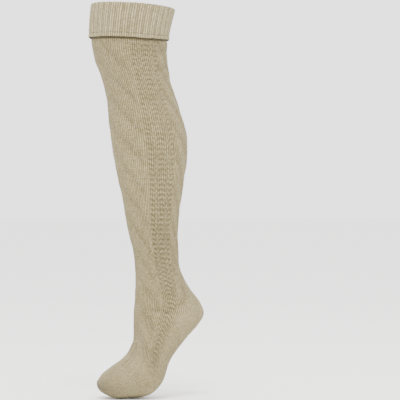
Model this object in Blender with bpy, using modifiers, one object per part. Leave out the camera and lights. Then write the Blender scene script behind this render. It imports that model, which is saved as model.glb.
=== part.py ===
"""Over-the-knee sock for a left leg, knitted in cables, with a turned-down ribbed cuff.

The sock keeps the shape of a leg on tiptoe: knee, calf, ankle, heel and bent toes. It is made in the
sections a knitter names: turned cuff, leg, heel, foot and toe. Each is one wall of knitted cloth.

Metres, +Z up. The origin is the middle of the leg opening at the rim of the cuff. The toes point to -Y
and the outer side of the leg faces +X. A turn of 0 degrees is the front of the leg, 90 the outer side.
"""

import math
from collections import namedtuple

import bmesh
import bpy
from mathutils import Vector

# Lengths of the sock
LEG_LENGTH = 0.4302
FOOT_LENGTH = 0.226
CUFF_HEIGHT = 0.055
CUFF_OVERLAP = 0.010
HEM_HEIGHT = 0.005

# Outer depths, front to back, and widths, side to side
THIGH_DEPTH = 0.1336
THIGH_WIDTH = 0.124
CALF_DEPTH = 0.1265
CALF_WIDTH = 0.115
ANKLE_DEPTH = 0.076
ANKLE_WIDTH = 0.0635
HEEL_DEPTH = 0.1187
HEEL_WIDTH = 0.066
BALL_DEPTH = 0.065
BALL_WIDTH = 0.091

# Cloth
LEG_WALL = 0.0020
RIB_WALL = 0.0018
RIB_COUNT = 36
RIB_RELIEF = 0.0004
HEM_RELIEF = 0.25
FOLD_STEPS = 3
CABLE_PITCH = 0.048
CABLE_RELIEF = 0.0012
PANEL_RELIEF = 0.0007
PLY_CLEARANCE = 0.0004
SEAM_GAP = 0.0003
EDGE_ROW = 0.001

# Rows of faces in the heel, foot and toe, and the toe's round end: how far it stands out, as a share of the
# last section's depth, and where its one row lies, in degrees
HEEL_ROWS = 7
FOOT_ROWS = 7
TOE_ROWS = 6
TIP_ROUND = 0.45
TIP_TURN = 40.0

# Turn in which a cable strand drops by one pitch, and half the turn of a side panel, in degrees
CABLE_TURN = 40.0
PANEL_TURN = 22.0

# Columns of faces round the leg, and how many of them lie between the front and the heel pocket
RING_COLUMNS = 36
HEEL_COLUMN = 8
COLUMN_TURN = 360 / RING_COLUMNS
HEEL_TURN = HEEL_COLUMN * COLUMN_TURN

SIZES = {
    "thigh": (THIGH_DEPTH, THIGH_WIDTH),
    "calf": (CALF_DEPTH, CALF_WIDTH),
    "ankle": (ANKLE_DEPTH, ANKLE_WIDTH),
    "heel": (HEEL_DEPTH, HEEL_WIDTH),
    "ball": (BALL_DEPTH, BALL_WIDTH),
}

# Cross sections of the leg, from the rim down. down and back are shares of the leg's length, tilt is in
# degrees with the front edge up, depth, outer and inner are shares of the depth and width named in size,
# and square is 2 for an ellipse and more for a boxier section.
SECTION_COLUMNS = "name down back tilt size depth outer inner square"
Section = namedtuple("Section", SECTION_COLUMNS)
LEG_SECTIONS = [
    Section("rim", 0.000, 0.000, 3.4, "thigh", 1.008, 0.500, 0.500, 2.0),
    Section("thigh", 0.059, -0.010, 3.2, "thigh", 0.978, 0.484, 0.484, 2.0),
    Section("knee_cap", 0.131, -0.016, 2.8, "thigh", 0.943, 0.460, 0.460, 2.0),
    Section("knee_low", 0.204, -0.008, 1.6, "thigh", 0.906, 0.435, 0.435, 2.0),
    Section("shin_top", 0.266, 0.009, 0.6, "calf", 0.901, 0.461, 0.461, 2.0),
    Section("calf_top", 0.338, 0.030, 0.0, "calf", 0.901, 0.470, 0.470, 2.0),
    Section("calf", 0.431, 0.052, 0.0, "calf", 0.976, 0.496, 0.487, 2.0),
    Section("calf_full", 0.519, 0.067, 0.0, "calf", 1.000, 0.496, 0.504, 2.0),
    Section("calf_low", 0.607, 0.072, 0.0, "calf", 0.933, 0.452, 0.470, 2.0),
    Section("shank", 0.728, 0.076, 0.0, "calf", 0.783, 0.374, 0.383, 2.0),
    Section("shank_low", 0.850, 0.081, 0.7, "ankle", 1.092, 0.551, 0.567, 2.0),
    Section("ankle_top", 0.925, 0.090, 1.5, "ankle", 0.987, 0.488, 0.504, 2.0),
    Section("ankle", 1.000, 0.100, 3.0, "ankle", 1.000, 0.496, 0.504, 2.0),
]

# Cross sections of the foot, from the ankle on. Here down and back are shares of the foot's length,
# measured from the middle of the ankle's section.
FOOT_SECTIONS = [
    Section("ankle_bone", 0.119, 0.032, 5.1, "heel", 0.757, 0.530, 0.530, 2.0),
    Section("heel_top", 0.226, 0.075, 8.2, "heel", 0.944, 0.500, 0.500, 2.0),
    Section("heel", 0.296, 0.084, 9.7, "heel", 1.000, 0.485, 0.485, 2.0),
    Section("heel_low", 0.363, 0.061, 12.5, "heel", 0.936, 0.500, 0.500, 2.1),
    Section("rear_sole", 0.442, 0.021, 18.4, "heel", 0.800, 0.530, 0.515, 2.2),
    Section("arch", 0.531, -0.022, 25.8, "ball", 1.203, 0.429, 0.407, 2.2),
    Section("instep", 0.615, -0.059, 35.6, "ball", 0.995, 0.473, 0.451, 2.3),
    Section("ball", 0.728, -0.100, 50.1, "ball", 1.103, 0.505, 0.495, 2.4),
    Section("toe_root", 0.795, -0.164, 55.2, "ball", 1.105, 0.484, 0.505, 2.5),
    Section("toes", 0.838, -0.268, 57.0, "ball", 0.975, 0.396, 0.495, 2.5),
    Section("toe_tips", 0.863, -0.374, 68.5, "ball", 0.629, 0.250, 0.430, 2.4),
    Section("tip", 0.861, -0.425, 76.8, "ball", 0.269, 0.110, 0.290, 2.2),
]

# Soft dents in the cloth. section is where the dent's middle lies, turn its place round the leg on the
# outer side, which the inner side repeats. reach and spread are its half length down the leg, as a share
# of the foot's length, and its half width in degrees. sink is its depth as a share of the leg's wall.
Dent = namedtuple("Dent", "name section turn reach spread sink")
DENTS = [
    Dent("behind_ankle", "ankle", 122.0, 0.055, 13.0, 0.7),
    Dent("above_heel", "heel_top", 112.0, 0.060, 12.0, 0.7),
    Dent("heel_corner", "heel_low", 78.0, 0.040, 12.0, 0.5),
    Dent("instep_gutter", "ball", 24.0, 0.110, 12.0, 0.9),
]

COLLECTION = "over_knee_sock"

# Outer wool colour of each section, sRGB, and its roughness
YARNS = {
    "turned_cuff": ((0.73, 0.69, 0.61), 0.9),
    "leg": ((0.69, 0.65, 0.55), 0.92),
    "heel": ((0.72, 0.68, 0.58), 0.92),
    "foot": ((0.71, 0.67, 0.57), 0.92),
    "toe": ((0.71, 0.67, 0.58), 0.92),
}


def ring_values(section, length, start):
    """The section's middle, tilt, half depth, outer and inner half widths and squareness."""
    depth, width = SIZES[section.size]
    return (
        start[0] + section.back * length,
        start[1] - section.down * length,
        math.radians(section.tilt),
        section.depth * depth / 2,
        section.outer * width,
        section.inner * width,
        section.square,
    )


def all_rings():
    """Every section in real sizes, and how far down the sock's middle line each one lies."""
    rings = [ring_values(section, LEG_LENGTH, (0.0, 0.0)) for section in LEG_SECTIONS]
    ankle = (rings[-1][0], rings[-1][1])
    rings += [ring_values(section, FOOT_LENGTH, ankle) for section in FOOT_SECTIONS]
    places = [0.0]
    for upper, lower in zip(rings, rings[1:]):
        places.append(places[-1] + math.hypot(lower[0] - upper[0], lower[1] - upper[1]))
    return rings, places


RINGS, PLACES = all_rings()
SECTION_NAMES = [section.name for section in LEG_SECTIONS + FOOT_SECTIONS]
PLACE_OF = dict(zip(SECTION_NAMES, PLACES))


def slope_at(index, column):
    """Slope of one column of RINGS at a section, from its neighbours."""
    if index in (0, len(RINGS) - 1):
        first = min(index, len(RINGS) - 2)
        return (RINGS[first + 1][column] - RINGS[first][column]) / (PLACES[first + 1] - PLACES[first])
    before = PLACES[index] - PLACES[index - 1]
    after = PLACES[index + 1] - PLACES[index]
    rise_before = (RINGS[index][column] - RINGS[index - 1][column]) / before
    rise_after = (RINGS[index + 1][column] - RINGS[index][column]) / after
    return (rise_before * after + rise_after * before) / (before + after)


def ring_at(along):
    """The section's values at any distance down the middle line, on a smooth curve through the table."""
    index = 0
    while index < len(PLACES) - 2 and along > PLACES[index + 1]:
        index += 1
    span = PLACES[index + 1] - PLACES[index]
    part = (along - PLACES[index]) / span
    start_weight = (1 + 2 * part) * (1 - part) ** 2
    end_weight = part ** 2 * (3 - 2 * part)
    values = []
    for column in range(len(RINGS[0])):
        start_slope = slope_at(index, column) * span * part * (1 - part) ** 2
        end_slope = slope_at(index + 1, column) * span * part ** 2 * (part - 1)
        values.append(RINGS[index][column] * start_weight + RINGS[index + 1][column] * end_weight
                      + start_slope + end_slope)
    return values


def bent(value, square):
    """A cosine or sine pushed out towards a square for a boxier section."""
    return math.copysign(abs(value) ** (2 / square), value)


def skin_point(along, turn, lift):
    """Point at a distance down the sock and a turn round it, lifted off the cloth's outer face."""
    back, height, tilt, depth, outer, inner, square = ring_at(along)
    across = bent(math.sin(math.radians(turn)), square)
    ahead = bent(math.cos(math.radians(turn)), square)
    width = (outer if across > 0 else inner) + lift
    reach = (depth + lift) * ahead
    return Vector((width * across, back - reach * math.cos(tilt), height + reach * math.sin(tilt)))


def fade(value, start, end):
    """0 before start, 1 after end, smooth between them."""
    part = min(max((value - start) / (end - start), 0.0), 1.0)
    return part * part * (3 - 2 * part)


def side_turn(turn):
    """Turn folded onto the outer half: 0 at the front, 180 at the back."""
    turn = turn % 360
    return 360 - turn if turn > 180 else turn


def cable_relief(along, turn):
    """Slanting cable strands that run down from the front line and the back line to the side panels."""
    near_line = min(side_turn(turn), 180 - side_turn(turn))
    strand = along / CABLE_PITCH - near_line / CABLE_TURN
    width = 1 - fade(near_line, CABLE_TURN, CABLE_TURN + PANEL_TURN)
    return CABLE_RELIEF * width * math.cos(2 * math.pi * strand)


def panel_relief(turn):
    """The raised panel down each side of the leg."""
    off_side = abs(side_turn(turn) - 90)
    return PANEL_RELIEF * (1 - fade(off_side, PANEL_TURN - COLUMN_TURN / 2, PANEL_TURN + COLUMN_TURN))


def dent_relief(along, turn):
    """Soft dents of the worn cloth, the same on both sides."""
    total = 0.0
    for dent in DENTS:
        down = (along - PLACE_OF[dent.section]) / (dent.reach * FOOT_LENGTH)
        round_leg = (side_turn(turn) - dent.turn) / dent.spread
        total -= dent.sink * LEG_WALL * math.exp(-down * down - round_leg * round_leg)
    return total


def leg_relief(along, turn):
    """All the relief of the leg, the foot's top and the heel, fading out under the cuff and at the toe."""
    hem = CUFF_HEIGHT + HEM_HEIGHT
    pattern = fade(along, hem, hem + CABLE_PITCH / 4)
    pattern *= 1 - fade(along, PLACE_OF["ball"], PLACE_OF["toe_root"])
    on_foot = fade(along, PLACE_OF["ankle_bone"], PLACE_OF["rear_sole"])
    sole = fade(side_turn(turn), 90 + PANEL_TURN, 90 + PANEL_TURN + COLUMN_TURN)
    pattern *= 1 - on_foot * sole
    return pattern * (cable_relief(along, turn) + panel_relief(turn)) + dent_relief(along, turn)


def heel_share(turn):
    """0 in front of the heel pocket, 1 at the back of the leg."""
    share = math.cos(math.radians(180 - side_turn(turn))) + math.cos(math.radians(HEEL_TURN))
    return max(share, 0.0) / (1 + math.cos(math.radians(HEEL_TURN)))


HEEL_LINE = (PLACE_OF["heel"] + PLACE_OF["heel_low"]) / 2
HEEL_TOP = PLACE_OF["ankle_bone"]
HEEL_END = (PLACE_OF["rear_sole"] + PLACE_OF["arch"]) / 2
TOE_LINE = (PLACE_OF["ball"] + PLACE_OF["toe_root"]) / 2
CUFF_JOIN = CUFF_HEIGHT - CUFF_OVERLAP


def leg_end(turn):
    """Lower edge of the leg: level in front, up over the heel pocket behind."""
    return HEEL_LINE - SEAM_GAP / 2 + (HEEL_TOP - HEEL_LINE) * heel_share(turn)


def foot_start(turn):
    """Upper edge of the foot: level in front, down under the heel pocket behind."""
    return HEEL_LINE + SEAM_GAP / 2 + (HEEL_END - HEEL_LINE) * heel_share(turn)


def turns_round(count):
    """Turns of the columns of a whole ring."""
    return [360 * column / count for column in range(count)]


def add_net(name, rows, round_closed=True, tip=None):
    """An open net of four-sided faces over rows of points, with a fan to the tip if there is one."""
    net = bmesh.new()
    grid = [[net.verts.new(point) for point in row] for row in rows]
    columns = len(grid[0])
    last = columns if round_closed else columns - 1
    for upper, lower in zip(grid, grid[1:]):
        for column in range(last):
            after = (column + 1) % columns
            net.faces.new((upper[column], lower[column], lower[after], upper[after]))
    if tip is not None:
        end = net.verts.new(tip)
        for column in range(last):
            net.faces.new((grid[-1][column], end, grid[-1][(column + 1) % columns]))
    mesh = bpy.data.meshes.new(name)
    net.to_mesh(mesh)
    net.free()
    piece = bpy.data.objects.new(name, mesh)
    bpy.data.collections[COLLECTION].objects.link(piece)
    return piece


def add_wall(piece, thickness, offset):
    """Turn an open net into a wall of knitted cloth."""
    wall = piece.modifiers.new("wall", "SOLIDIFY")
    wall.thickness = thickness
    wall.offset = offset
    wall.use_rim = True


def finish_piece(piece):
    """Give a section its yarn and smooth shading."""
    colour, roughness = YARNS[piece.name]
    material = bpy.data.materials.new(piece.name + "_yarn")
    material.use_nodes = True
    shader = material.node_tree.nodes["Principled BSDF"]
    shader.inputs["Base Color"].default_value = (*(part ** 2.2 for part in colour), 1.0)
    shader.inputs["Roughness"].default_value = roughness
    shader.inputs["Metallic"].default_value = 0.0
    piece.data.materials.append(material)
    piece.data.shade_smooth()
    piece.data.set_sharp_from_angle(angle=math.radians(50))


def build_cuff():
    """The ribbed band: up the inside, over the fold and down the outside to the hem."""
    inner = -(RIB_RELIEF + RIB_WALL / 2)
    outer = PLY_CLEARANCE + RIB_RELIEF + RIB_WALL / 2
    fold = (outer - inner) / 2
    middle = (outer + inner) / 2
    # How far down each row lies, how far off the leg, which way its ribs stand out and how much
    profile = [(CUFF_JOIN - SEAM_GAP / 2, inner, -1.0, 0.0, 0.5)]
    for step in range(FOLD_STEPS + 1):
        angle = math.pi * (1 - step / FOLD_STEPS)
        across = math.cos(angle)
        up = math.sin(angle)
        profile.append((fold - up * fold, middle + across * fold, across, -up, 1.0))
    profile += [
        (CUFF_HEIGHT - HEM_HEIGHT, outer, 1.0, 0.0, 1.0),
        (CUFF_HEIGHT, outer, 1.0, 0.0, HEM_RELIEF),
    ]
    turns = turns_round(2 * RIB_COUNT)
    rows = []
    for down, lift, across, up, strength in profile:
        row = []
        for column, turn in enumerate(turns):
            rib = RIB_RELIEF * strength * (-1) ** column
            row.append(skin_point(down + up * rib, turn, lift + across * rib))
        rows.append(row)
    cuff = add_net("turned_cuff", rows[::-1])
    add_wall(cuff, RIB_WALL, 0.0)
    return cuff


def cloth_point(along, turn):
    """A point on the outer face of the cloth, with its relief."""
    return skin_point(along, turn, leg_relief(along, turn))


def band_places(start, end, count):
    """Distances down the sock from one edge to the other, with a narrow row along each edge."""
    edge = min(EDGE_ROW, (end - start) / 4)
    first, last = start + edge, end - edge
    return [start] + [first + (last - first) * step / count for step in range(count + 1)] + [end]


def band_rows(start_of, end_of, count, turns):
    """Rows of points between two edges, whose distances down the sock may differ with the turn."""
    places = [band_places(start_of(turn), end_of(turn), count) for turn in turns]
    rows = []
    for row in range(count + 3):
        rows.append([cloth_point(places[column][row], turn) for column, turn in enumerate(turns)])
    return rows


def build_leg():
    """The tube over knee, calf and ankle, four rows to each cable strand."""
    turns = turns_round(RING_COLUMNS)
    count = round((HEEL_LINE - CUFF_JOIN) / (CABLE_PITCH / 4))
    rows = band_rows(lambda turn: CUFF_JOIN + SEAM_GAP / 2, leg_end, count, turns)
    leg = add_net("leg", rows)
    add_wall(leg, LEG_WALL, -1.0)
    return leg


def build_heel():
    """The heel pocket: a wedge across the back, from one gore line corner to the other."""
    corner = HEEL_TURN + COLUMN_TURN / 2
    turns = [corner]
    for column in range(HEEL_COLUMN + 1, RING_COLUMNS - HEEL_COLUMN):
        turns.append(column * COLUMN_TURN)
    turns.append(360 - corner)
    rows = band_rows(lambda turn: leg_end(turn) + SEAM_GAP, lambda turn: foot_start(turn) - SEAM_GAP,
                     HEEL_ROWS, turns)
    heel = add_net("heel", rows, round_closed=False)
    add_wall(heel, LEG_WALL, -1.0)
    return heel


def build_foot():
    """The tube over instep and sole."""
    turns = turns_round(RING_COLUMNS)
    rows = band_rows(foot_start, lambda turn: TOE_LINE - SEAM_GAP / 2, FOOT_ROWS, turns)
    foot = add_net("foot", rows)
    add_wall(foot, LEG_WALL, -1.0)
    return foot


def build_toe():
    """The cap over the toes, closed by a small dome at the tip."""
    turns = turns_round(RING_COLUMNS)
    rows = band_rows(lambda turn: TOE_LINE + SEAM_GAP / 2, lambda turn: PLACE_OF["tip"], TOE_ROWS, turns)
    tilt, depth = ring_at(PLACE_OF["tip"])[2:4]
    ahead = Vector((0.0, -math.sin(tilt), -math.cos(tilt)))
    centre = sum(rows[-1], Vector()) / len(rows[-1])
    shrink = math.cos(math.radians(TIP_TURN))
    forward = math.sin(math.radians(TIP_TURN)) * TIP_ROUND * depth * ahead
    rows.append([centre + (point - centre) * shrink + forward for point in rows[-1]])
    toe = add_net("toe", rows, tip=centre + TIP_ROUND * depth * ahead)
    add_wall(toe, LEG_WALL, -1.0)
    return toe


def build_sock():
    """All sections of the sock."""
    for old in list(bpy.data.objects):
        bpy.data.objects.remove(old, do_unlink=True)
    bpy.context.scene.collection.children.link(bpy.data.collections.new(COLLECTION))
    for build in (build_cuff, build_leg, build_heel, build_foot, build_toe):
        finish_piece(build())


build_sock()
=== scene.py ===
"""Looks of an over-the-knee sock: cables down the leg, small arched stitches on its sides, ribbed cuff.

Every piece is a grid of stitches bent into a tube. One smooth form gives the leg's shape, and functions
of the place on it raise the ribs, cables, side panels and worn folds. Metres, +Z up, toes to -Y. A turn of
0 degrees is the front of the leg and 90 its outer side. along is the distance down the middle of the leg.
"""

from collections import namedtuple

import bmesh
import bpy
import numpy as np
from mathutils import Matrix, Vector


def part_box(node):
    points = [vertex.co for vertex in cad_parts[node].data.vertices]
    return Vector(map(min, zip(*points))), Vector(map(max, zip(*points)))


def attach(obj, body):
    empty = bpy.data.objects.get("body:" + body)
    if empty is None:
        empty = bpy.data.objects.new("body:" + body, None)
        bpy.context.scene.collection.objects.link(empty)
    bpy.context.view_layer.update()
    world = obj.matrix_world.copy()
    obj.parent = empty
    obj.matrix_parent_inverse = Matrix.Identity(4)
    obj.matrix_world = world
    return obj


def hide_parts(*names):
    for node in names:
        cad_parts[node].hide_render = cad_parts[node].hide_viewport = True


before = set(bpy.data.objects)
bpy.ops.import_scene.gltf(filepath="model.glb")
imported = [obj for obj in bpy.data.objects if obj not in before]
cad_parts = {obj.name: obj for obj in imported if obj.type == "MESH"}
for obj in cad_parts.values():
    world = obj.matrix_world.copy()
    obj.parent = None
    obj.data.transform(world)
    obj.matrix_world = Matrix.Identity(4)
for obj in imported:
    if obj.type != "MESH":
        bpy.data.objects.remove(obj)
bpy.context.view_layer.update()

# Lengths of the worn sock, and its sizes front to back and across, in metres
LEG_LENGTH = 0.4302
FOOT_LENGTH = 0.226
CUFF_HEIGHT = 0.055
CUFF_JOIN = 0.045
JOIN_GAP = 0.0005
HEM_HEIGHT = 0.005
SIZES = {
    "thigh": (0.1336, 0.124),
    "calf": (0.1265, 0.115),
    "ankle": (0.076, 0.0635),
    "heel": (0.1187, 0.066),
    "ball": (0.065, 0.091),
}

# Cloth
LEG_WALL = 0.0020
RIB_WALL = 0.0018
PLY_CLEARANCE = 0.0004
RIB_SWELL = 0.0004
HEM_STAND = 0.0012
HEM_GAP = 0.0010
HEM_TOP = CUFF_HEIGHT - HEM_HEIGHT
HEM_GROOVE = 0.0004
HEM_RISE = 0.0034
CUFF_WAVE = 0.00025
WALES = 108
RIB_WALES = 3
COURSE_LEG = 0.00275
COURSE_FOOT = 0.0026
HEEL_TURN = 80.0
GORE_WIDTH = 0.0020
GORE_DEPTH = 0.0005
GORE_HOLES = 6.5
TIP_ROUND = 0.24
SLOW_DRIFT = 0.00018
QUICK_DRIFT = 0.00010

# Shares of the leg's or foot's length and of the sizes above, one row for each cross section
Section = namedtuple("Section", "name down back tilt size depth outer inner square")
LEG_SECTIONS = [
    Section("rim", 0.000, 0.000, 3.4, "thigh", 1.008, 0.500, 0.500, 2.0),
    Section("thigh", 0.059, -0.010, 3.2, "thigh", 0.978, 0.484, 0.484, 2.0),
    Section("knee_cap", 0.131, -0.016, 2.8, "thigh", 0.943, 0.460, 0.460, 2.0),
    Section("knee_low", 0.204, -0.008, 1.6, "thigh", 0.906, 0.435, 0.435, 2.0),
    Section("shin_top", 0.266, 0.009, 0.6, "calf", 0.901, 0.461, 0.461, 2.0),
    Section("calf_top", 0.338, 0.030, 0.0, "calf", 0.901, 0.470, 0.470, 2.0),
    Section("calf", 0.431, 0.052, 0.0, "calf", 0.976, 0.496, 0.487, 2.0),
    Section("calf_full", 0.519, 0.067, 0.0, "calf", 1.000, 0.496, 0.504, 2.0),
    Section("calf_low", 0.607, 0.072, 0.0, "calf", 0.933, 0.452, 0.470, 2.0),
    Section("shank", 0.728, 0.076, 0.0, "calf", 0.783, 0.374, 0.383, 2.0),
    Section("shank_low", 0.850, 0.081, 0.7, "ankle", 1.092, 0.551, 0.567, 2.0),
    Section("ankle_top", 0.925, 0.090, 1.5, "ankle", 0.987, 0.488, 0.504, 2.0),
    Section("ankle", 1.000, 0.100, 3.0, "ankle", 1.000, 0.496, 0.504, 2.0),
]
FOOT_SECTIONS = [
    Section("ankle_bone", 0.119, 0.032, 5.1, "heel", 0.757, 0.530, 0.530, 2.0),
    Section("heel_top", 0.226, 0.075, 8.2, "heel", 0.944, 0.500, 0.500, 2.0),
    Section("heel", 0.296, 0.084, 9.7, "heel", 1.000, 0.485, 0.485, 2.0),
    Section("heel_low", 0.363, 0.061, 12.5, "heel", 0.936, 0.500, 0.500, 2.1),
    Section("rear_sole", 0.442, 0.021, 18.4, "heel", 0.800, 0.530, 0.515, 2.2),
    Section("arch", 0.531, -0.022, 25.8, "ball", 1.203, 0.429, 0.407, 2.2),
    Section("instep", 0.615, -0.059, 35.6, "ball", 0.995, 0.473, 0.451, 2.3),
    Section("ball", 0.728, -0.100, 50.1, "ball", 1.103, 0.505, 0.495, 2.4),
    Section("toe_root", 0.795, -0.164, 55.2, "ball", 1.105, 0.484, 0.505, 2.5),
    Section("toes", 0.838, -0.268, 57.0, "ball", 0.975, 0.396, 0.495, 2.5),
    Section("toe_tips", 0.863, -0.374, 68.5, "ball", 0.660, 0.270, 0.440, 2.4),
    Section("tip", 0.861, -0.425, 76.8, "ball", 0.360, 0.150, 0.330, 2.2),
]

# Big cables on the front and back. Crests lie at these places down the cloth, at CABLE_AT degrees of turn,
# and a strand drops by CABLE_SLOPE over one degree. On the front they end at CABLE_END. On the back,
# CABLE_BACK is the turn that stands for CABLE_AT, and strands descend CABLE_STEEP times as fast.
CABLE_CRESTS = (-0.048, 0.002, 0.054, 0.106, 0.158, 0.210, 0.261, 0.311, 0.359, 0.406, 0.452, 0.498, 0.545,
                0.592, 0.639, 0.686, 0.734)
CABLE_AT = 30.0
CABLE_SLOPE = 0.0012
CABLE_END = 67.0
CABLE_BACK = 130.0
CABLE_STEEP = 1.4
BACK_STRENGTH = 1.1

# Relief of a cable: half the width of a crest, and where the sunk flank below it lies, how wide and how deep
# it is, all as shares of a pitch or of the crest
CABLE_RELIEF = 0.0009
CREST_SHARE = 0.11
FLANK_SHARE = 0.24
FLANK_WIDTH = 0.11
FLANK_DEPTH = 0.8

# Flat raised patches where strands cross, as turn and share of a pitch below a crest, and rows of small holes
# beside each crest, as share of a pitch and strength
PATCHES = ((58.0, 0.0), (25.0, -0.25))
PATCH_RELIEF = 0.0005
PATCH_SPREAD = 6.5
PATCH_SHARE = 0.17
HOLE_ROWS = ((0.07, 1.0), (-0.09, 0.7))
HOLE_WIDTH = 0.035

# Side panel of small arched stitches: its middle turn and half width at places down the leg, and how deep its
# arches lie at other places
PANEL_PLACES = (0.045, 0.084, 0.127, 0.175, 0.222, 0.267, 0.334, 0.395, 0.440, 0.475, 0.520, 0.620)
PANEL_MIDDLES = (99.0, 98.0, 94.5, 91.0, 90.3, 92.0, 93.0, 92.5, 91.0, 86.5, 83.0, 82.0)
PANEL_HALVES = (23.0, 23.0, 23.0, 23.0, 22.5, 22.5, 22.5, 22.5, 21.0, 16.0, 14.0, 14.0)
ARCH_PLACES = (0.06, 0.12, 0.19, 0.32, 0.43, 0.52)
ARCH_DEPTHS = (1.2, 0.9, 0.85, 1.5, 1.7, 1.3)

# Arches: turn from one column to the next, courses in an arch, how far its foot hangs below its crown as a
# share of its height, half its width as a share of a column, and the shares where beads take over. Bars
# cross the beads: how deep and how far ahead of the arches they lie. Towards the ankle the columns slant.
ARCH_TURN = 21.0
ARCH_COURSES = 3
ARCH_HANG = 0.35
ARCH_HALF = 0.36
BEADS_FROM = (0.34, 0.41)
BAR_DEPTH = 0.75
BAR_LEAD = 0.12
COLUMN_SLANT = 0.9
LINE_SHARPNESS = 1.6

# Relief of the arches, their columns, the gutter down each edge of the panel and the whole panel
ARCH_RELIEF = 0.0010
COLUMN_RELIEF = 0.0004
GUTTER_RELIEF = 0.0003
GUTTER_WIDTH = 1.6
GUTTER_OFF = 1.5
PANEL_RELIEF = 0.0005

# How much painted shade the sunk arches and the thigh and knee get, and how much painted shadow lies under
# the hem. The cloth draws in by HEM_GAP in a band under the hem, whose middle and half width these are.
ARCH_SHADE = 0.50
KNEE_PAINTED_SHADE = 0.10
GAP_SHADE = 2.2
GAP_OFF = 0.0008
GAP_REACH = 0.0024

# Painted shade in sunk flanks and creases grows with depth: the depth that would be wholly dark, and the most
# painted shade that they get
FLANK_SHADE = (0.0022, 0.25)
CREASE_SHADE = (0.0030, 0.4)

# Worn creases, each a soft groove from one place to another on both sides of the leg. start and end are
# sections, shifts, widths and depths are in metres and turns in degrees. The cloth beside a groove stands up
# in a lip, LIP_OFF widths away and LIP_HEIGHT as high as the groove is deep.
LIP_OFF = 1.9
LIP_HEIGHT = 0.35
Crease = namedtuple("Crease", "name start start_shift start_turn end end_shift end_turn width depth")
CREASES = [
    Crease("behind_ankle", "ankle", -0.016, 124.0, "ankle", 0.010, 118.0, 0.0050, 0.0009),
    Crease("tendon", "ankle", 0.014, 142.0, "ankle_bone", 0.006, 124.0, 0.0045, 0.0007),
    Crease("above_heel", "ankle_bone", 0.004, 122.0, "heel_top", 0.006, 104.0, 0.0055, 0.0009),
    Crease("heel_corner", "heel_low", -0.007, 46.0, "heel_low", -0.010, 98.0, 0.0044, 0.0011),
    Crease("corner_low", "heel_low", 0.003, 46.0, "heel_low", 0.026, 60.0, 0.0038, 0.0009),
    Crease("instep_gutter", "instep", 0.006, 9.0, "toe_root", 0.012, 22.0, 0.0026, 0.0016),
    Crease("instep_second", "instep", 0.010, 18.0, "toe_root", 0.006, 34.0, 0.0024, 0.0008),
    Crease("knee_back_high", "knee_cap", 0.010, 150.0, "knee_low", -0.010, 112.0, 0.0080, 0.0006),
    Crease("knee_back_low", "knee_low", 0.006, 160.0, "knee_low", 0.016, 118.0, 0.0080, 0.0005),
]

# Places where the worn cloth stands a little fuller or lies flatter than the plain form: section, shift down,
# turn, reach down the leg, reach round it in degrees, and height
Swell = namedtuple("Swell", "name place shift turn reach spread height")
SWELLS = [
    Swell("heel_back", "heel", 0.004, 180.0, 0.024, 60.0, 0.0030),
    Swell("ball", "ball", -0.020, 180.0, 0.016, 60.0, 0.0030),
    Swell("shin", "shank_low", 0.012, 0.0, 0.034, 50.0, 0.0013),
    Swell("instep", "arch", 0.006, 0.0, 0.020, 50.0, -0.0018),
    Swell("toe_top", "toe_tips", 0.000, 0.0, 0.012, 60.0, 0.0004),
    Swell("toe_under", "toes", 0.008, 165.0, 0.025, 80.0, -0.0044),
    Swell("tendon", "shank_low", 0.026, 180.0, 0.018, 45.0, 0.0014),
]

# Light: an even white room, and one large softbox high up in front of the sock. Its place is right, up and
# toward, from the middle of the sock as seen from the camera.
WORLD_GLOW = 2.6
KEY_PLACE = (0.0, 2.9, 1.3)
KEY_SIZE = 1.2
KEY_POWER = 115.0
KEY_TINT = "fffaf2"

# Image frame and camera: the photo's own height at the sock, in metres
VIEW_TURN = 70.0
VIEW_DISTANCE = 3.2
VIEW_HEIGHT = 0.660
VIEW_RIGHT = 0.1106
VIEW_DROP = 0.3178
SENSOR = 0.036


def ring_rows(sections, length, back, height):
    """Rows of middle, tilt, half depth, half widths and squareness in real sizes."""
    rows = []
    for part in sections:
        depth, width = SIZES[part.size]
        rows.append([back + part.back * length, height - part.down * length, np.radians(part.tilt),
                     part.depth * depth / 2, part.outer * width, part.inner * width, part.square])
    return rows


LEG_RINGS = ring_rows(LEG_SECTIONS, LEG_LENGTH, 0.0, 0.0)
RINGS = np.array(LEG_RINGS + ring_rows(FOOT_SECTIONS, FOOT_LENGTH, *LEG_RINGS[-1][:2]))
STEPS = np.hypot(np.diff(RINGS[:, 0]), np.diff(RINGS[:, 1]))
PLACES = np.concatenate([[0.0], np.cumsum(STEPS)])
PLACE_OF = {part.name: place for part, place in zip(LEG_SECTIONS + FOOT_SECTIONS, PLACES)}
HEEL_LINE = (PLACE_OF["heel"] + PLACE_OF["heel_low"]) / 2
HEEL_TOP = PLACE_OF["ankle_bone"]
HEEL_END = (PLACE_OF["rear_sole"] + PLACE_OF["arch"]) / 2
TOE_LINE = (PLACE_OF["ball"] + PLACE_OF["toe_root"]) / 2
TIP = PLACE_OF["tip"]


def ring_slopes():
    """Slope of every ring value at every section, from the neighbours on both sides."""
    rise = np.diff(RINGS, axis=0) / STEPS[:, None]
    slopes = np.empty_like(RINGS)
    slopes[0] = rise[0]
    slopes[-1] = rise[-1]
    before = STEPS[:-1, None]
    after = STEPS[1:, None]
    slopes[1:-1] = (rise[:-1] * after + rise[1:] * before) / (before + after)
    return slopes


SLOPES = ring_slopes()


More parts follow.
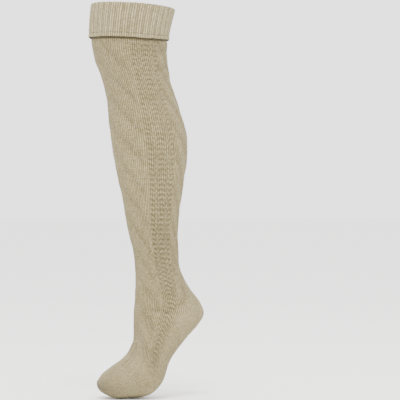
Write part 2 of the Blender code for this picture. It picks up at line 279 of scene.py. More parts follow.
def ring_at(along):
    """Ring values at any distance down the middle line, on a smooth curve through the sections."""
    index = np.clip(np.searchsorted(PLACES, along, side="right") - 1, 0, len(PLACES) - 2)
    span = STEPS[index]
    part = ((along - PLACES[index]) / span)[..., None]
    span = span[..., None]
    start = RINGS[index] * (1 + 2 * part) * (1 - part) ** 2 + SLOPES[index] * span * part * (1 - part) ** 2
    end = RINGS[index + 1] * part ** 2 * (3 - 2 * part) + SLOPES[index + 1] * span * part ** 2 * (part - 1)
    return np.moveaxis(start + end, -1, 0)


def skin(along, turn, lift):
    """Points on the sock's form, lifted off its outer face. Each ring is an ellipse, boxier on the foot."""
    back, height, tilt, depth, outer, inner, square = ring_at(along)
    across = np.sin(np.radians(turn))
    ahead = np.cos(np.radians(turn))
    boxy = (np.abs(across) ** square + np.abs(ahead) ** square) ** (-1 / square)
    width = (np.where(across > 0, outer, inner) + lift) * across * boxy
    reach = (depth + lift) * ahead * boxy
    return np.stack([width, back - reach * np.cos(tilt), height + reach * np.sin(tilt)], axis=-1)


def fade(value, start, end):
    """0 before start, 1 after end, smooth between them."""
    part = np.clip((value - start) / (end - start), 0.0, 1.0)
    return part * part * (3 - 2 * part)


def side_turn(turn):
    """Turn folded onto the outer half: 0 at the front, 180 at the back."""
    turn = np.mod(turn, 360.0)
    return np.minimum(turn, 360.0 - turn)


def heel_share(turn):
    """0 in front of the heel pocket, 1 at the back of the leg."""
    corner = np.cos(np.radians(HEEL_TURN))
    share = np.cos(np.radians(180 - side_turn(turn))) + corner
    return np.maximum(share, 0.0) / (1 + corner)


def leg_start(turn):
    """Upper edge of the leg, a hair below the inner ply of the cuff."""
    return CUFF_JOIN + JOIN_GAP + 0 * turn


def leg_end(turn):
    """Lower edge of the leg: level in front, up over the heel pocket behind."""
    return HEEL_LINE + (HEEL_TOP - HEEL_LINE) * heel_share(turn)


def foot_start(turn):
    """Upper edge of the foot: level in front, down under the heel pocket behind."""
    return HEEL_LINE + (HEEL_END - HEEL_LINE) * heel_share(turn)


def foot_end(turn):
    """Lower edge of the foot, level all round."""
    return TOE_LINE + 0 * turn


# Table of the cloth's own length down each wale, so that stitches keep their size over the heel
RUN_TURNS = np.linspace(0.0, 360.0, 73)
RUN_PLACES = np.linspace(0.0, TIP, 700)


def run_tables():
    """Cloth length and number of courses from the rim down to each place, for each turn."""
    along, turn = np.meshgrid(RUN_PLACES, RUN_TURNS)
    points = skin(along, turn, 0.0)
    steps = np.linalg.norm(np.diff(points, axis=1), axis=2)
    plain = np.diff(RUN_PLACES)[None, :]
    middle = (along[:, 1:] + along[:, :-1]) / 2
    on_foot = fade(middle, PLACE_OF["ankle_top"], PLACE_OF["ankle_bone"])
    steps = plain + (steps - plain) * on_foot
    course = COURSE_LEG + (COURSE_FOOT - COURSE_LEG) * fade(middle, PLACE_OF["shank"], PLACE_OF["ankle"])
    start = np.zeros((len(RUN_TURNS), 1))
    runs = np.concatenate([start, np.cumsum(steps, axis=1)], axis=1)
    courses = np.concatenate([start, np.cumsum(steps / course, axis=1)], axis=1)
    return runs, courses


RUNS, COURSES = run_tables()


def read_table(table, along, turn):
    """Value of a run table between its places and turns."""
    row = np.mod(turn, 360.0) / 360.0 * (len(RUN_TURNS) - 1)
    column = np.clip(along / TIP, 0.0, 1.0) * (len(RUN_PLACES) - 1)
    top = np.minimum(row.astype(int), len(RUN_TURNS) - 2)
    left = np.minimum(column.astype(int), len(RUN_PLACES) - 2)
    down = row - top
    right = column - left
    upper = table[top, left] * (1 - right) + table[top, left + 1] * right
    lower = table[top + 1, left] * (1 - right) + table[top + 1, left + 1] * right
    return upper * (1 - down) + lower * down


def cloth_run(table, along, turn, region):
    """Length or courses down a wale. Below the heel pocket the cloth goes on from the leg's last course."""
    value = read_table(table, along, turn)
    if region not in ("foot", "toe"):
        return value
    skipped = read_table(table, foot_start(turn), turn) - read_table(table, HEEL_LINE + 0 * turn, turn)
    return value - skipped


def strand_count(run, near_line):
    """How many cable strands lie above a place. Crests are whole numbers."""
    drop = CABLE_SLOPE * (near_line - CABLE_AT)
    return np.interp(run - drop, CABLE_CRESTS, np.arange(len(CABLE_CRESTS)))


def nearest(count):
    """How far a count is from the nearest whole number."""
    return np.mod(count + 0.5, 1.0) - 0.5


def cable_relief(run, near_line):
    """Strands that lap over each other: a narrow crest with a sunk flank below it, and flat raised patches
    where strands cross."""
    off_crest = nearest(strand_count(run, near_line))
    swell = np.exp(-(off_crest / CREST_SHARE) ** 2)
    swell -= FLANK_DEPTH * np.exp(-((off_crest - FLANK_SHARE) / FLANK_WIDTH) ** 2)
    patches = 0.0 * run
    for patch_turn, below in PATCHES:
        off_patch = nearest(strand_count(run, patch_turn + 0 * near_line) - below)
        patches += np.exp(-((near_line - patch_turn) / PATCH_SPREAD) ** 4 - (off_patch / PATCH_SHARE) ** 4)
    return CABLE_RELIEF * swell + PATCH_RELIEF * patches


def crossing_row(run, near_line):
    """Where the yarns of a crossing leave small holes: a row on each side of every crest."""
    off_crest = nearest(strand_count(run, near_line))
    return sum(strength * np.exp(-((off_crest - share) / HOLE_WIDTH) ** 2) for share, strength in HOLE_ROWS)


def panel_frame(along, side):
    """Degrees off the side panel's middle, its half width, and 1 inside the panel, 0 outside."""
    off = side - np.interp(along, PANEL_PLACES, PANEL_MIDDLES)
    half = np.interp(along, PANEL_PLACES, PANEL_HALVES)
    return off, half, 1 - fade(np.abs(off), half - 1.5, half + 1.0)


def sunk_line(count):
    """A dark line at every whole number."""
    return np.exp(-LINE_SHARPNESS * (1 - np.cos(2 * np.pi * count)))


def arch_lines(along, course, off):
    """The sunk lines of the panel, 0 to 1: an arch in each column and short bars across the beads between.
    Towards the ankle the columns slant down to the back."""
    near_ankle = fade(along, PLACE_OF["ankle_top"] + 0.004, PLACE_OF["ankle"] + 0.016)
    count = course / ARCH_COURSES - COLUMN_SLANT * near_ankle * off / ARCH_TURN
    cell = nearest(off / ARCH_TURN)
    in_arch = 1 - fade(np.abs(cell), *BEADS_FROM)
    arch = sunk_line(count - ARCH_HANG * (cell / ARCH_HALF) ** 2) * in_arch
    bar = BAR_DEPTH * sunk_line(count + BAR_LEAD) * (1 - in_arch)
    return np.interp(along, ARCH_PLACES, ARCH_DEPTHS) * (arch + bar)


def panel_relief(off, half, inside, arches):
    """Arches sunk between raised beaded columns, with a shallow gutter down each edge of the panel."""
    column = np.cos(2 * np.pi * off / ARCH_TURN)
    gutter = np.exp(-((np.abs(off) - half - GUTTER_OFF) / GUTTER_WIDTH) ** 2)
    return inside * (PANEL_RELIEF - COLUMN_RELIEF * column - ARCH_RELIEF * arches) - GUTTER_RELIEF * gutter


def crease_relief(along, turn):
    """Soft grooves where the worn cloth gathers."""
    radius = ring_at(along)[3]
    side = side_turn(turn)
    total = np.zeros_like(along)
    for crease in CREASES:
        start = PLACE_OF[crease.start] + crease.start_shift
        end = PLACE_OF[crease.end] + crease.end_shift
        down = end - start
        across = np.radians(crease.end_turn - crease.start_turn) * radius
        from_down = along - start
        from_across = np.radians(side - crease.start_turn) * radius
        share = np.clip((from_down * down + from_across * across) / (down ** 2 + across ** 2), 0.0, 1.0)
        distance = np.hypot(from_down - share * down, from_across - share * across)
        groove = np.exp(-(distance / crease.width) ** 2)
        ridge = np.exp(-((distance - LIP_OFF * crease.width) / crease.width) ** 2)
        total += crease.depth * (LIP_HEIGHT * ridge - groove)
    return total


def swell_relief(along, turn):
    """Where worn cloth stands fuller or flatter than the plain form."""
    side = side_turn(turn)
    total = np.zeros_like(along)
    for swell in SWELLS:
        down = (along - PLACE_OF[swell.place] - swell.shift) / swell.reach
        across = (side - swell.turn) / swell.spread
        total += swell.height * np.exp(-down ** 2 - across ** 2)
    return total


def drift(along, turn):
    """Slow unevenness of cloth that is stretched over a leg: waves of unlike lengths laid over each other."""
    phase = np.radians(turn)
    slow = np.sin(3 * phase + 31 * along) * np.sin(47 * along + 1.3)
    quick = np.sin(7 * phase - 83 * along + 0.6) * np.sin(5 * phase + 109 * along)
    return SLOW_DRIFT * slow + QUICK_DRIFT * quick


def hem_edge(turn):
    """Where the turned cuff ends: level in front, a little higher behind, and never quite straight."""
    phase = np.radians(turn)
    uneven = 0.0003 * np.sin(7 * phase + 1.0) + 0.0002 * np.sin(17 * phase)
    return CUFF_HEIGHT - HEM_RISE * fade(side_turn(turn), 95.0, 160.0) - np.abs(uneven)


def gore_relief(along, turn):
    """The pinched line where the two halves of the heel pocket meet, with its row of small holes."""
    side = side_turn(turn)
    line = np.exp(-((along - HEEL_LINE) / GORE_WIDTH) ** 2)
    span = fade(side, HEEL_TURN - 10, HEEL_TURN + 4) * (1 - fade(side, 112.0, 138.0))
    holes = 0.70 + 0.30 * np.cos(2 * np.pi * side / GORE_HOLES)
    return -GORE_DEPTH * line * span * holes


def pattern_share(along, turn, region):
    """1 where the cloth is patterned, 0 on heel, sole and toe and under the cuff."""
    if region in ("heel", "toe"):
        return 0.0 * along
    side = side_turn(turn)
    under_hem = fade(along - hem_edge(turn), 0.0, 0.009)
    before_toes = 1 - fade(along, PLACE_OF["ball"] - 0.010, PLACE_OF["ball"] + 0.014)
    on_foot = fade(along, PLACE_OF["ankle_bone"], PLACE_OF["heel_low"])
    sole = fade(side, 98.0, 108.0)
    return under_hem * before_toes * (1 - on_foot * sole)


def sunk_shade(relief, whole, most):
    """Painted shade that grows with the depth of a sunk place."""
    return np.clip(-relief / whole, 0.0, most)


def knit_relief(along, turn, region):
    """Relief of a region of the leg or foot in metres off the form, its painted shade and its holes."""
    run = cloth_run(RUNS, along, turn, region)
    course = cloth_run(COURSES, along, turn, region)
    side = side_turn(turn)
    share = pattern_share(along, turn, region)
    off, half, inside = panel_frame(along, side)
    above_heel = 1 - fade(along, PLACE_OF["ankle_top"], PLACE_OF["ankle_bone"])
    # Strands from both sides meet at the very front and back, so the cables lie low there
    front_share = fade(side, 0.0, 6.0) * (0.35 + 0.65 * fade(side, 12.0, 42.0)) * (1 - inside) * (off < 0)
    front_share *= 1 - fade(side, CABLE_END - 7, CABLE_END)
    back_share = BACK_STRENGTH * fade(180 - side, 0.0, 20.0) * (1 - inside) * (off > 0) * above_heel
    behind_line = CABLE_AT + CABLE_STEEP * (side - CABLE_BACK)
    cables = front_share * cable_relief(run, side) + back_share * cable_relief(run, behind_line)
    holes = front_share * crossing_row(run, side) + back_share * crossing_row(run, behind_line)
    arches = inside * arch_lines(along, course, off)
    panel = panel_relief(off, half, inside, arches)
    creases = crease_relief(along, turn)
    # The band under the hem, where the cloth draws in and gets painted shadow from the cuff
    gap = 0.0 * along
    if region == "leg":
        gap = np.exp(-((along - hem_edge(turn) - GAP_OFF) / GAP_REACH) ** 4)
    relief = share * (cables + panel) + creases - HEM_GAP * gap
    relief += swell_relief(along, turn) + drift(along, turn) + gore_relief(along, turn)
    # Painted shade over the thigh and knee, fading out between the calf's top and the shank
    knee_shade_share = 1 - fade(along, PLACE_OF["calf_top"], PLACE_OF["shank"])
    # Painted shade in the sunk cable flanks, the arches and the creases
    painted_shade = share * (sunk_shade(cables, *FLANK_SHADE) + ARCH_SHADE * arches)
    painted_shade = painted_shade + sunk_shade(creases, *CREASE_SHADE) + KNEE_PAINTED_SHADE * knee_shade_share
    more_holes = 1 + fade(along, PLACE_OF["ankle"], PLACE_OF["heel"])
    # The band under the hem gets painted shadow, where that is darker than the other painted shade
    return relief, np.maximum(painted_shade, GAP_SHADE * gap), share * holes * more_holes


def stitch_places(along, turn, region):
    """Wale and course numbers of a place."""
    wale = np.mod(turn, 360.0001) / 360.0 * WALES
    return wale + 0 * along, cloth_run(COURSES, along, turn, region)


def column_turns():
    """Turns of the columns of a whole ring: finer over the two side panels."""
    edges = [(0.0, 66.0, 40), (66.0, 114.0, 44), (114.0, 246.0, 80), (246.0, 294.0, 44), (294.0, 360.0, 40)]
    parts = [np.linspace(start, end, count, endpoint=False) for start, end, count in edges]
    return np.concatenate(parts + [[360.0]])


RING_TURNS = column_turns()


def wall_profile(outer_rows, inner_rows, edge_rows=3):
    """Rows round the wall of a tube: down the outer face, round the lower edge, up the inner face, round
    the upper edge. Each row is a share of the way down and a share of the way in."""
    down = [(share, 0.0) for share in np.linspace(0.0, 1.0, outer_rows + 1)]
    lower = [(1.0, share) for share in np.linspace(0.0, 1.0, edge_rows + 1)[1:-1]]
    up = [(share, 1.0) for share in np.linspace(1.0, 0.0, inner_rows + 1)]
    upper = [(0.0, share) for share in np.linspace(1.0, 0.0, edge_rows + 1)[1:]]
    return np.array(down + lower + up + upper)


def knit_piece(name, points, stitches, tones):
    """A closed piece of cloth: a flat grid whose rows run round the wall's profile and whose columns run
    round the leg. Points, stitch numbers and tones are arrays over rows and columns."""
    rows, columns = points.shape[0] - 1, points.shape[1] - 1
    sheet = bmesh.new()
    sheet.loops.layers.uv.new("stitches")
    bmesh.ops.create_grid(sheet, x_segments=columns, y_segments=rows, size=0.5)
    mesh = bpy.data.meshes.new(name)
    sheet.to_mesh(mesh)
    sheet.free()
    flat = np.empty(len(mesh.vertices) * 3)
    mesh.vertices.foreach_get("co", flat)
    flat = flat.reshape(-1, 3) + 0.5
    column = np.rint(flat[:, 0] * columns).astype(int)
    row = np.rint(flat[:, 1] * rows).astype(int)
    mesh.vertices.foreach_set("co", points[row, column].ravel())
    corners = np.empty(len(mesh.loops), dtype=np.int32)
    mesh.loops.foreach_get("vertex_index", corners)
    uv = np.stack([field[row[corners], column[corners]] for field in stitches], axis=-1)
    mesh.uv_layers["stitches"].data.foreach_set("uv", uv.ravel())
    for tone_name, values in tones.items():
        tone = mesh.attributes.new(tone_name, "FLOAT", "POINT")
        tone.data.foreach_set("value", values[row, column].ravel())

    # Join the first row to the last and the first column to the last, and each pointed end to one line
    sheet = bmesh.new()
    sheet.from_mesh(mesh)
    seam = (row == 0) | (row == rows) | (column == 0) | (column == columns)
    sheet.verts.ensure_lookup_table()
    seam_verts = [sheet.verts[index] for index in np.flatnonzero(seam)]
    bmesh.ops.remove_doubles(sheet, verts=seam_verts, dist=1e-5)
    bmesh.ops.recalc_face_normals(sheet, faces=sheet.faces)
    sheet.to_mesh(mesh)
    sheet.free()
    mesh.shade_smooth()
    mesh.set_sharp_from_angle(angle=np.radians(55.0))
    piece = bpy.data.objects.new(name, mesh)
    bpy.context.scene.collection.objects.link(piece)
    return piece


def tube_piece(name, region, turns, start_of, end_of, outer_rows, inner_rows):
    """A closed wall of cloth between an upper and a lower edge: a whole ring, or a part that runs out to a
    point at both ends."""
    profile = wall_profile(outer_rows, inner_rows)
    share = profile[:, 0][:, None]
    inward = profile[:, 1][:, None]
    turn = np.broadcast_to(turns[None, :], (len(profile), len(turns)))
    along = start_of(turn) * (1 - share) + end_of(turn) * share
    relief, painted_shade, holes = knit_relief(along, turn, region)
    points = skin(along, turn, relief - inward * LEG_WALL)
    tones = {"painted_shade": painted_shade, "holes": holes}
    return knit_piece(name, points, stitch_places(along, turn, region), tones)


def build_leg():
    """The tube from under the cuff to the heel line."""
    return tube_piece("leg_knit", "leg", RING_TURNS, leg_start, leg_end, 320, 60)


def build_foot():
    """The tube over instep and sole."""
    return tube_piece("foot_knit", "foot", RING_TURNS, foot_start, foot_end, 110, 20)


def build_heel():
    """The heel pocket between its two gore corners."""
    turns = np.linspace(HEEL_TURN, 360.0 - HEEL_TURN, 121)
    return tube_piece("heel_knit", "heel", turns, leg_end, foot_start, 76, 20)


def build_toe():
    """The cap over the toes, its rows drawn in to one point at the tip."""
    outer = [(share, 1.0, 0.0) for share in np.linspace(0.0, 1.0, 60)]
    outer += [(1.0, ring, 0.0) for ring in np.linspace(1.0, 0.0, 12)[1:]]
    inner = [(share, ring, 1.0) for share, ring, _ in outer[::-3]]
    edge = [(0.0, 1.0, share) for share in (1.0, 0.66, 0.33, 0.0)]
    profile = np.array(outer + inner + edge)
    share, ring, inward = (profile[:, index][:, None] for index in range(3))
    turn = np.broadcast_to(RING_TURNS[None, :], (len(profile), len(RING_TURNS)))
    along = TOE_LINE * (1 - share) + TIP * share + 0 * turn
    relief, painted_shade, holes = knit_relief(along, turn, "toe")
    relief = relief * ring
    points = skin(along, turn, relief - inward * LEG_WALL)
    ends = skin(np.array([TIP, TIP]), np.array([0.0, 180.0]), np.zeros(2))
    middle = np.array([0.0, *ends.mean(axis=0)[1:]])
    tilt, depth = ring_at(np.array([TIP]))[2:4, 0]
    ahead = np.array([0.0, -np.sin(tilt), -np.cos(tilt)])
    reach = (TIP_ROUND * depth * (1 - ring ** 2) - inward * LEG_WALL * (1 - ring))[..., None]
    drawn = middle + (points - middle) * ring[..., None] + reach * ahead
    points = np.where((share < 1)[..., None], points, drawn)
    tones = {"painted_shade": painted_shade, "holes": holes}
    piece = knit_piece("toe_knit", points, stitch_places(along, turn, "toe"), tones)
    sheet = bmesh.new()
    sheet.from_mesh(piece.data)
    bmesh.ops.remove_doubles(sheet, verts=sheet.verts, dist=1e-6)
    bmesh.ops.recalc_face_normals(sheet, faces=sheet.faces)
    sheet.to_mesh(piece.data)
    sheet.free()
    return piece


def rib_wave(turn):
    """Two raised wales and one sunk wale, 1 to -1."""
    wale = np.mod(turn / 360.0 * WALES, RIB_WALES)
    sunk = np.exp(-((wale - 0.5) / 0.50) ** 2) + np.exp(-((wale - RIB_WALES - 0.5) / 0.50) ** 2)
    between = np.exp(-((wale - 2.0) / 0.18) ** 2)
    return 1.0 - 2.0 * sunk - 0.30 * between


def cuff_path():
    """The middle of the band's cloth, as places down the leg and lifts off the form: up the inside from the
    join, over the fold, and down the outside to the hem. With it go the ways ahead and out of the cloth."""
    inner = -(RIB_SWELL + RIB_WALL / 2)
    outer = PLY_CLEARANCE + RIB_SWELL + RIB_WALL / 2
    radius = (outer - inner) / 2
    angles = np.radians(np.linspace(180.0, 0.0, 13)[1:-1])
    up = np.linspace(CUFF_JOIN - RIB_WALL / 2, radius, 24)
    fold = radius - radius * np.sin(angles)
    ribs = np.linspace(radius, HEM_TOP - 0.0025, 34)
    hem = np.linspace(HEM_TOP - 0.0020, CUFF_HEIGHT - RIB_WALL / 2, 19)
    place = np.concatenate([up, fold, ribs, hem])
    middle = (outer + inner) / 2
    over = middle + radius * np.cos(angles)
    lift = np.concatenate([inner + 0 * up, over, outer + 0 * ribs, outer + 0 * hem])
    centre = np.stack([place, lift], axis=1)
    ahead = np.gradient(centre, axis=0)
    ahead /= np.linalg.norm(ahead, axis=1)[:, None]
    outward = np.stack([-ahead[:, 1], ahead[:, 0]], axis=1)
    return centre, ahead, outward


def build_cuff():
    """The ribbed band: its showing face from the join over the fold to the hem, a round edge at the hem, its
    hidden face all the way back, and a round edge at the join."""
    centre, ahead, outward = cuff_path()
    count = len(centre)
    hidden = np.arange(count)[::-3]
    row = np.concatenate([np.arange(count), [count - 1] * 3, hidden, [0] * 4])
    slants = np.radians([50.0, 0.0, -50.0])[:, None]
    hem_end = np.cos(slants) * ahead[-1] + np.sin(slants) * outward[-1]
    join_end = -np.cos(slants) * ahead[0] - np.sin(slants) * outward[0]
    way = np.concatenate([outward, hem_end, -outward[hidden], join_end, outward[:1]])
    showing = (np.arange(len(row)) < count)[:, None]
    down = centre[row, :1]
    outside = centre[row, 1:] > 0.0
    hem = fade(down, HEM_TOP - 0.0008, HEM_TOP + 0.0008) * outside
    swell = np.where(outside, 1 - 0.75 * hem, fade(CUFF_JOIN - down, 0.0, 0.004))
    groove = np.exp(-((down - HEM_TOP + 0.0010) / 0.0008) ** 2) * outside * showing
    turn = np.linspace(0.0, 360.0, WALES * 5 + 1)[None, :] + 0 * down
    wave = rib_wave(turn) * swell
    shift = RIB_SWELL * wave + HEM_STAND * hem - HEM_GROOVE * groove
    rise = (CUFF_HEIGHT - hem_edge(turn)) * outside * (down / CUFF_HEIGHT) ** 2
    loose = CUFF_WAVE * np.sin(5 * np.radians(turn) + 60 * down)
    place = down + outward[row, :1] * shift + way[:, :1] * RIB_WALL / 2 - rise
    lift = centre[row, 1:] + outward[row, 1:] * shift + way[:, 1:] * RIB_WALL / 2 + loose
    steps = np.linalg.norm(np.diff(centre[row], axis=0), axis=1)
    course = np.concatenate([[0.0], np.cumsum(steps)])[:, None] / COURSE_LEG + 0 * turn
    wale = turn / 360.0 * WALES + 0.5
    # Painted shade in the sunk wales of the ribs and in the groove at the top of the hem
    tones = {"painted_shade": np.clip(-wave, 0.0, 1.0) + 0.4 * groove, "holes": 0.0 * turn}
    return knit_piece("turned_cuff_knit", skin(place, turn, lift), (wale, course), tones)


def linear(hex_colour):
    """A colour as the renderer wants it, from an sRGB hex value."""
    parts = [int(hex_colour[index:index + 2], 16) / 255 for index in (0, 2, 4)]
    light = [part / 12.92 if part <= 0.04045 else ((part + 0.055) / 1.055) ** 2.4 for part in parts]
    return (*light, 1.0)


def add_node(tree, kind, settings=None, inputs=None):
    """Add a node, set it up, link what is linked, and give back its outputs."""
    node = tree.nodes.new(kind)
    for name, value in (settings or {}).items():
        setattr(node, name, value)
    for name, value in (inputs or {}).items():
        if isinstance(value, bpy.types.NodeSocket):
            tree.links.new(value, node.inputs[name])
        else:
            node.inputs[name].default_value = value
    return node.outputs


def knitted_wool(name, light, base, shade, stitch_depth, painted_shade_share, between_courses):
    """Soft brushed wool and cotton yarn, machine knitted. The eye gets a matt, slightly hairy face: V shaped
    stitches in upright wales, a heathered tone from stitch to stitch, and painted shade between them."""
    material = bpy.data.materials.new(name)
    material.use_nodes = True
    tree = material.node_tree
    tree.nodes.clear()
    place = add_node(tree, "ShaderNodeTexCoord")["Object"]
    stitch_uv = add_node(tree, "ShaderNodeUVMap", {"uv_map": "stitches"})[0]
    wale, course, _ = add_node(tree, "ShaderNodeSeparateXYZ", inputs={0: stitch_uv})

    # One V stitch: two strokes that slant up and out from the middle of each wale
    off_wale = add_node(tree, "ShaderNodeMath", {"operation": "PINGPONG"}, {0: wale, 1: 0.5})[0]
    off_course = add_node(tree, "ShaderNodeMath", {"operation": "PINGPONG"}, {0: course, 1: 0.5})[0]
    slant = add_node(tree, "ShaderNodeMath", {"operation": "MULTIPLY_ADD"},
                     {0: off_wale, 1: 1.3, 2: course})[0]
    off_yarn = add_node(tree, "ShaderNodeMath", {"operation": "PINGPONG"}, {0: slant, 1: 0.5})[0]
    yarn_round = add_node(tree, "ShaderNodeMapRange", {"interpolation_type": "SMOOTHSTEP"},
                          {"Value": off_yarn, "From Max": 0.5, "To Min": 1.0, "To Max": between_courses})[0]
    wale_round = add_node(tree, "ShaderNodeMapRange", {"interpolation_type": "SMOOTHSTEP"},
                          {"Value": off_wale, "From Max": 0.5, "To Min": 1.0, "To Max": 0.0})[0]
    stitch = add_node(tree, "ShaderNodeMath", {"operation": "MULTIPLY"}, {0: yarn_round, 1: wale_round})[0]

    # Small holes between stitches, in the rows where cable strands cross
    holes = add_node(tree, "ShaderNodeAttribute", {"attribute_name": "holes"})["Fac"]
    off_hole = add_node(tree, "ShaderNodeCombineXYZ", inputs={0: off_wale, 1: off_course})[0]
    from_hole = add_node(tree, "ShaderNodeVectorMath", {"operation": "LENGTH"}, {0: off_hole})["Value"]
    hole = add_node(tree, "ShaderNodeMapRange", {"interpolation_type": "SMOOTHSTEP"},
                    {"Value": from_hole, "From Min": 0.12, "From Max": 0.36, "To Min": 1.0, "To Max": 0.0})[0]
    eyelets = add_node(tree, "ShaderNodeMath", {"operation": "MULTIPLY"}, {0: hole, 1: holes})[0]

    # Loose fibres about 0.9 mm apart, drawn three times as coarse as real ones so that they show
    hairs = add_node(tree, "ShaderNodeTexNoise", inputs={"Vector": place, "Scale": 1100.0, "Detail": 3.0,
                                                         "Roughness": 0.65})[0]
    woolly = add_node(tree, "ShaderNodeMath", {"operation": "MULTIPLY_ADD"},
                      {0: hairs, 1: 0.45, 2: stitch})[0]
    height = add_node(tree, "ShaderNodeMath", {"operation": "MULTIPLY_ADD"},
                      {0: eyelets, 1: -0.9, 2: woolly})[0]
    bump = add_node(tree, "ShaderNodeBump", inputs={"Height": height, "Strength": 1.0,
                                                    "Distance": stitch_depth})[0]

    # Heather: dyed and pale fibres spun together, one tone to a stitch, over slow clouds 30 mm wide
    heather = add_node(tree, "ShaderNodeTexNoise", inputs={"Vector": place, "Scale": 380.0, "Detail": 3.0,
                                                           "Roughness": 0.65})[0]
    cloud = add_node(tree, "ShaderNodeTexNoise", inputs={"Vector": place, "Scale": 34.0, "Detail": 2.0})[0]
    wale_number = add_node(tree, "ShaderNodeMath", {"operation": "ROUND"}, {0: wale})[0]
    course_number = add_node(tree, "ShaderNodeMath", {"operation": "ROUND"}, {0: slant})[0]
    cell = add_node(tree, "ShaderNodeCombineXYZ", inputs={0: wale_number, 1: course_number})[0]
    chance = add_node(tree, "ShaderNodeTexWhiteNoise", {"noise_dimensions": "2D"}, {"Vector": cell})[0]
    clouded = add_node(tree, "ShaderNodeMath", {"operation": "MULTIPLY_ADD"},
                       {0: cloud, 1: 0.3, 2: heather})[0]
    tone = add_node(tree, "ShaderNodeMath", {"operation": "MULTIPLY_ADD"},
                    {0: chance, 1: 0.35, 2: clouded})[0]
    toned = add_node(tree, "ShaderNodeMapRange",
                     inputs={"Value": tone, "From Min": 0.55, "From Max": 1.10})[0]
    yarn = add_node(tree, "ShaderNodeMix", {"data_type": "RGBA"},
                    {0: toned, 6: linear(base), 7: linear(light)})[2]

    # Painted shade between the stitches, in sunk parts of the pattern and inside the holes, towards the shade
    # colour
    between = add_node(tree, "ShaderNodeMapRange", inputs={"Value": stitch, "To Min": 0.80, "To Max": 0.0})[0]
    painted_shade = add_node(tree, "ShaderNodeAttribute", {"attribute_name": "painted_shade"})["Fac"]
    sunk = add_node(tree, "ShaderNodeMath", {"operation": "MULTIPLY_ADD"},
                    {0: painted_shade, 1: painted_shade_share, 2: between})[0]
    dark = add_node(tree, "ShaderNodeMath", {"operation": "MULTIPLY_ADD"}, {0: eyelets, 1: 0.7, 2: sunk})[0]
    colour = add_node(tree, "ShaderNodeMix", {"data_type": "RGBA", "clamp_factor": True},
                      {0: dark, 6: yarn, 7: linear(shade)})[2]
    surface = add_node(tree, "ShaderNodeBsdfPrincipled", inputs={
        "Base Color": colour, "Roughness": 0.92, "IOR": 1.5, "Specular IOR Level": 0.2,
        "Sheen Weight": 0.05, "Sheen Roughness": 0.5, "Normal": bump})[0]
    add_node(tree, "ShaderNodeOutputMaterial", inputs={"Surface": surface})
    return material


MAKERS = {
    "turned_cuff": (build_cuff, "rib_knit"),
    "leg": (build_leg, "cable_knit"),
    "heel": (build_heel, "plain_knit"),
    "foot": (build_foot, "cable_knit"),
    "toe": (build_toe, "plain_knit"),
}
# The third colour of each yarn is the colour of its painted shade
YARNS = {
    "rib_knit": knitted_wool("wool_rib_knit", "cbbc96", "9d8e66", "585139", 0.0013, 0.34, 0.75),
    "cable_knit": knitted_wool("wool_cable_knit", "cdbe91", "998c5e", "554c36", 0.0016, 0.45, 0.45),
    "plain_knit": knitted_wool("wool_plain_knit", "ccbd91", "9f8f65", "58523a", 0.0013, 0.40, 0.45),
}

for node, (maker, slot) in MAKERS.items():
    piece = maker()
    piece.data.materials.append(YARNS[slot])
    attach(piece, "root")
    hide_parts(node)


def studio_paint(name, colour, roughness):
    """Matt studio paint: an even pale ground with a faint mottle."""
    material = bpy.data.materials.new(name)
    material.use_nodes = True
    tree = material.node_tree
    tree.nodes.clear()
    place = add_node(tree, "ShaderNodeTexCoord")["Object"]
    mottle = add_node(tree, "ShaderNodeTexNoise", inputs={"Vector": place, "Scale": 3.0})[0]
    shade = add_node(tree, "ShaderNodeMapRange", inputs={"Value": mottle, "To Min": 0.985, "To Max": 1.0})[0]
    tint = add_node(tree, "ShaderNodeMix", {"data_type": "RGBA", "blend_type": "MULTIPLY"},
                    {0: 1.0, 6: linear(colour), 7: shade})[2]
    surface = add_node(tree, "ShaderNodeBsdfPrincipled", inputs={
        "Base Color": tint, "Roughness": roughness, "Specular IOR Level": 0.1})[0]
    add_node(tree, "ShaderNodeOutputMaterial", inputs={"Surface": surface})
    return material


# The toes' underside lies a little higher than the plain solid's, and the floor is raised with it
FLOOR_RISE = 0.0028
FLOOR_RADIUS = 30.0
FLOOR_LEVEL = min(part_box("toe")[0][2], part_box("foot")[0][2]) + FLOOR_RISE


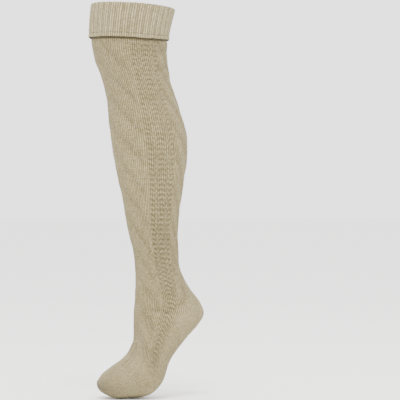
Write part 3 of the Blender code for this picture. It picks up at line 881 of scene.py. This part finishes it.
def build_floor():
    """A wide round floor just under the toes."""
    sheet = bmesh.new()
    bmesh.ops.create_circle(sheet, cap_ends=True, segments=96, radius=FLOOR_RADIUS)
    bmesh.ops.translate(sheet, verts=sheet.verts, vec=(0.0, 0.0, FLOOR_LEVEL))
    mesh = bpy.data.meshes.new("studio_floor")
    sheet.to_mesh(mesh)
    sheet.free()
    floor = bpy.data.objects.new("studio_floor", mesh)
    bpy.context.scene.collection.objects.link(floor)
    mesh.materials.append(studio_paint("studio_floor_paint", "fbfbfa", 0.9))


TURN = np.radians(VIEW_TURN)
RIGHT = Vector((np.cos(TURN), np.sin(TURN), 0.0))
TOWARD = Vector((np.sin(TURN), -np.cos(TURN), 0.0))
UP = Vector((0.0, 0.0, 1.0))
TARGET = VIEW_RIGHT * RIGHT - VIEW_DROP * UP
MIDDLE = Vector((0.0, 0.02, -0.33))


def add_camera():
    """A long lens at the photo's height and angle."""
    data = bpy.data.cameras.new("photo_camera")
    data.sensor_width = SENSOR * 1000
    data.lens = SENSOR * 1000 * VIEW_DISTANCE / VIEW_HEIGHT
    data.dof.use_dof = False
    camera = bpy.data.objects.new("photo_camera", data)
    camera.location = TARGET + VIEW_DISTANCE * TOWARD
    camera.rotation_euler = (-TOWARD).to_track_quat("-Z", "Y").to_euler()
    bpy.context.scene.collection.objects.link(camera)
    bpy.context.scene.camera = camera


def add_key_softbox():
    """A soft area light aimed at the sock."""
    data = bpy.data.lights.new("key_softbox", "AREA")
    data.shape = "SQUARE"
    data.size = KEY_SIZE
    data.energy = KEY_POWER
    data.color = linear(KEY_TINT)[:3]
    light = bpy.data.objects.new("key_softbox", data)
    right, up, toward = KEY_PLACE
    light.location = MIDDLE + right * RIGHT + up * UP + toward * TOWARD
    light.rotation_euler = (MIDDLE - light.location).to_track_quat("-Z", "Y").to_euler()
    bpy.context.scene.collection.objects.link(light)


def add_world():
    """An even white room round the floor."""
    world = bpy.data.worlds.new("white_room")
    world.use_nodes = True
    world.node_tree.nodes.clear()
    glow = add_node(world.node_tree, "ShaderNodeBackground",
                    inputs={"Color": linear("ffffff"), "Strength": WORLD_GLOW})[0]
    add_node(world.node_tree, "ShaderNodeOutputWorld", inputs={"Surface": glow})
    bpy.context.scene.world = world


build_floor()
add_camera()
add_world()
add_key_softbox()
